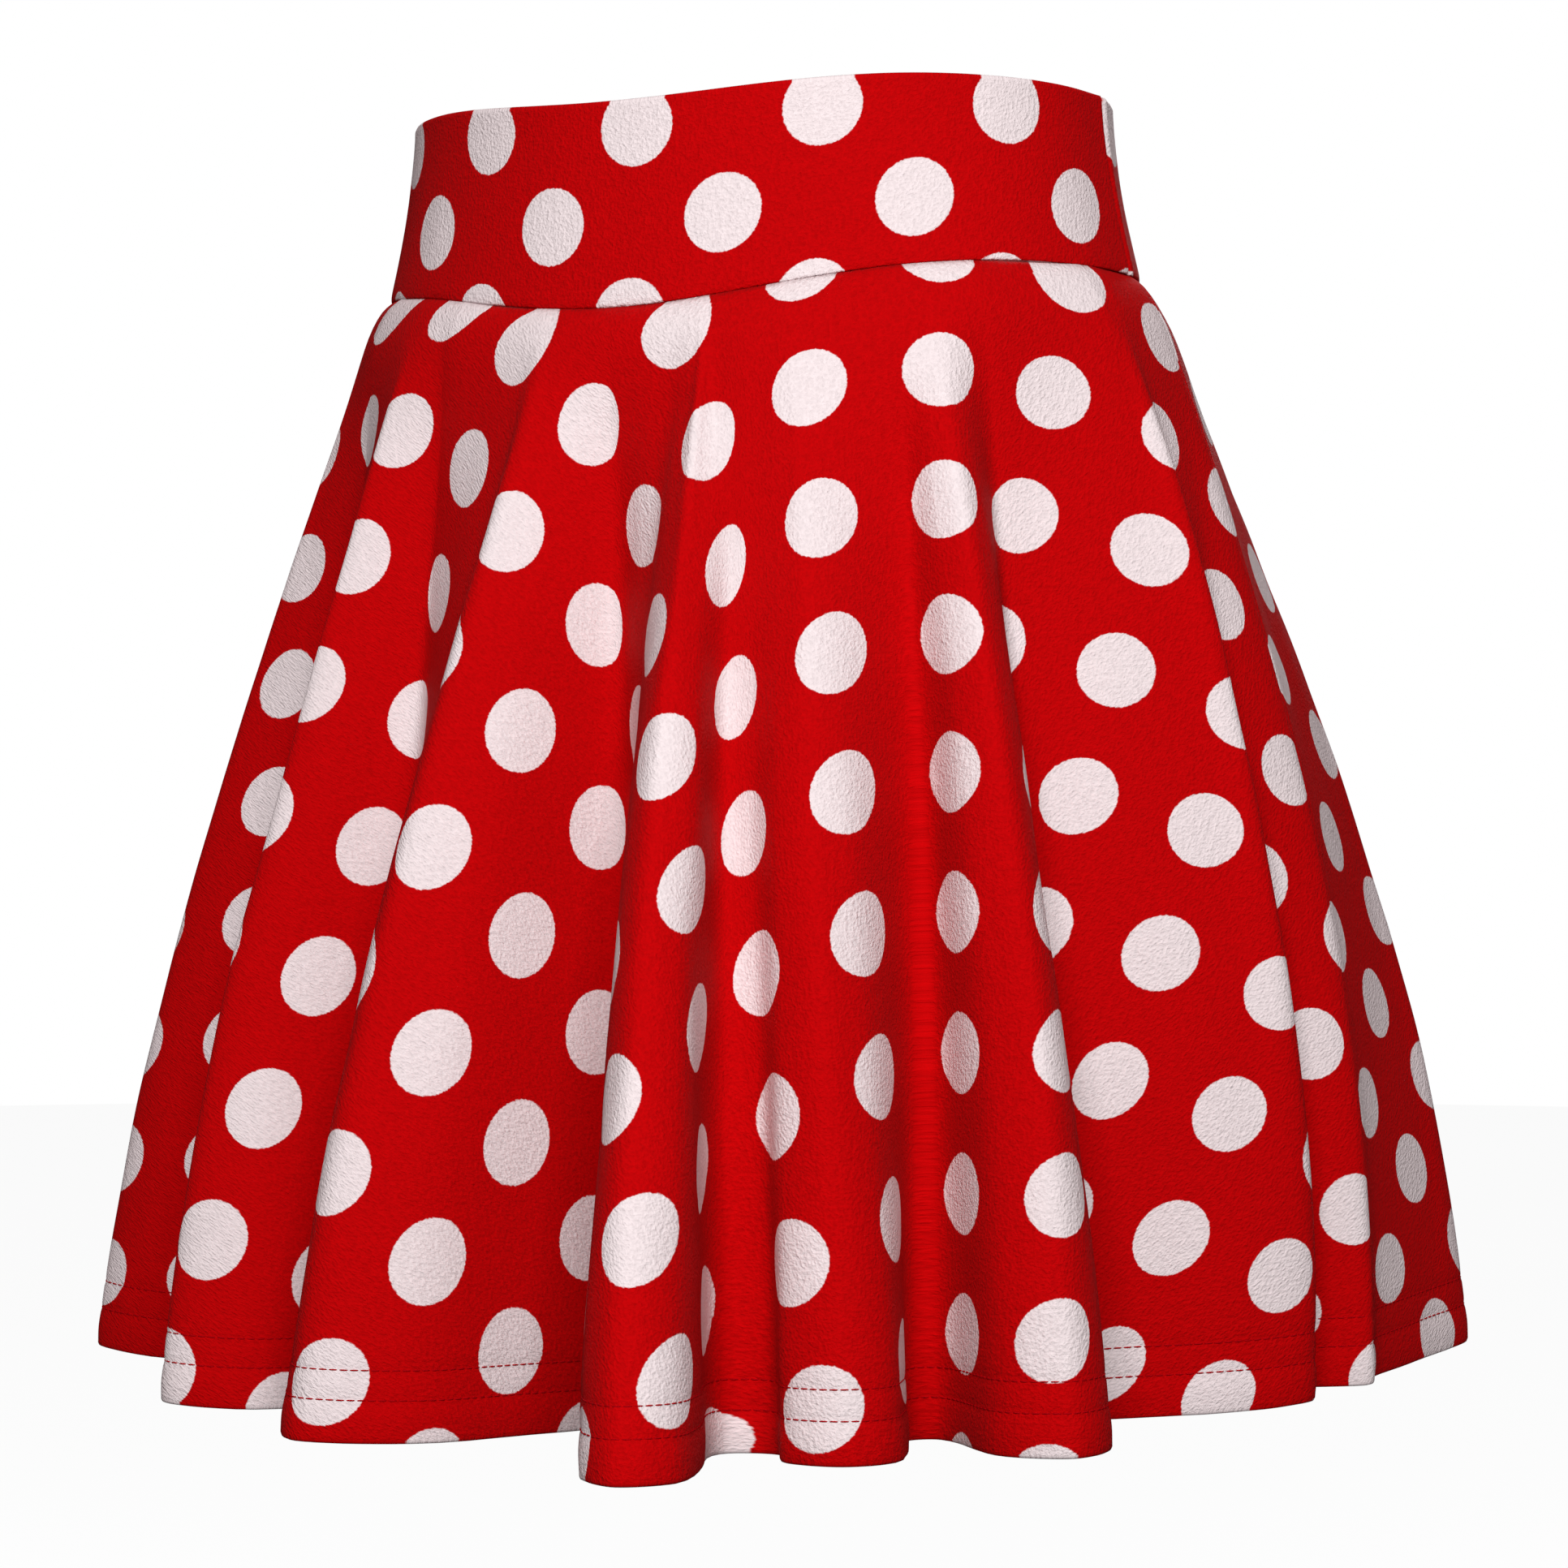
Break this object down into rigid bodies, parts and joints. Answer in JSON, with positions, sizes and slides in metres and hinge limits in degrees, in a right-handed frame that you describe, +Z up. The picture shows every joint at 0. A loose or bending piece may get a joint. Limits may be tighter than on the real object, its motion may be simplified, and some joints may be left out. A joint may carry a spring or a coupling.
{
  "type": "flared skater mini skirt",
  "caption": "Short flared knit skirt on a wide waistband, in deep soft folds all round, open at waist and hem, red with white polka dots.",
  "frame": {"origin": "on the body's upright axis, half way up the waistband, where the wearer's waist holds the skirt", "axes": "+Z up, the skirt's front towards -Y, the wearer's left towards +X"},
  "size_m": [0.4394, 0.4429, 0.4047],
  "materials": {
    "skirt_cloth": "matt crepe knit, white dots printed on red",
    "band_cloth": "matt crepe knit, white dots printed on red, doubled"
  },
  "bodies": {
    "root": {"skirt_front": "skirt_cloth", "skirt_back": "skirt_cloth", "waistband_front": "band_cloth", "waistband_back": "band_cloth"}
  },
  "joints": []
}
